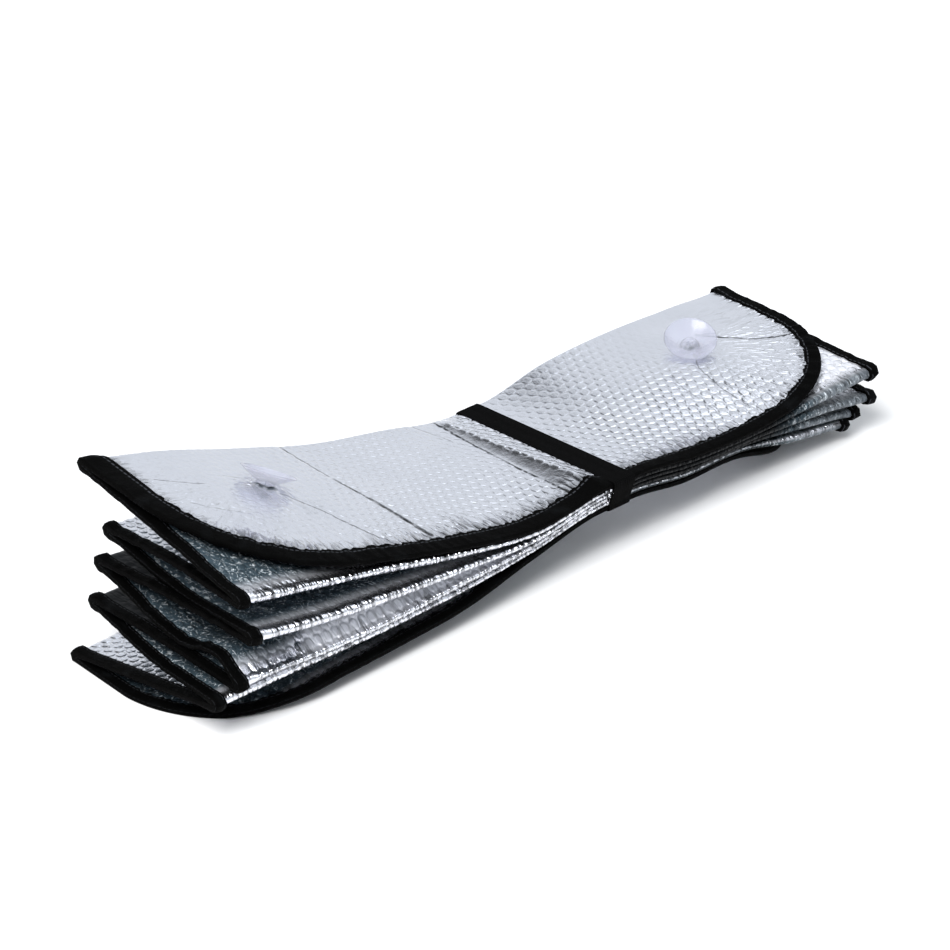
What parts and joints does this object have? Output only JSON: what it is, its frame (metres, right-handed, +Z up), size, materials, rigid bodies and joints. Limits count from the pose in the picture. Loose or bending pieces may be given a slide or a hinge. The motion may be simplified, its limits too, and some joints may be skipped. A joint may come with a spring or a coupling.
{
  "type": "windscreen sunshade",
  "caption": "Windscreen sunshade of silver bubble foil, folded like an accordion into a long bundle, bound with black tape, cinched by an elastic strap and fitted with clear suction cups.",
  "frame": {"origin": "centre of the bounding box in X and Y, on the floor that the bundle rests on", "axes": "+X along the bundle towards the strap's side, +Y towards the folds that face away from the camera, +Z up"},
  "size_m": [0.6058, 0.1626, 0.1391],
  "materials": {
    "foil": "shiny metallised film over air bubbles",
    "binding": "woven polyester tape, folded over the edge and stitched",
    "strap": "ribbed woven elastic",
    "cup": "clear soft PVC with a faint violet tint"
  },
  "bodies": {
    "root": {"foil_sheet": "foil", "edge_binding": "binding", "elastic_strap": "strap", "suction_cup_top_left": "cup", "suction_cup_top_right": "cup", "suction_cup_bottom_left": "cup", "suction_cup_bottom_right": "cup"}
  },
  "joints": []
}
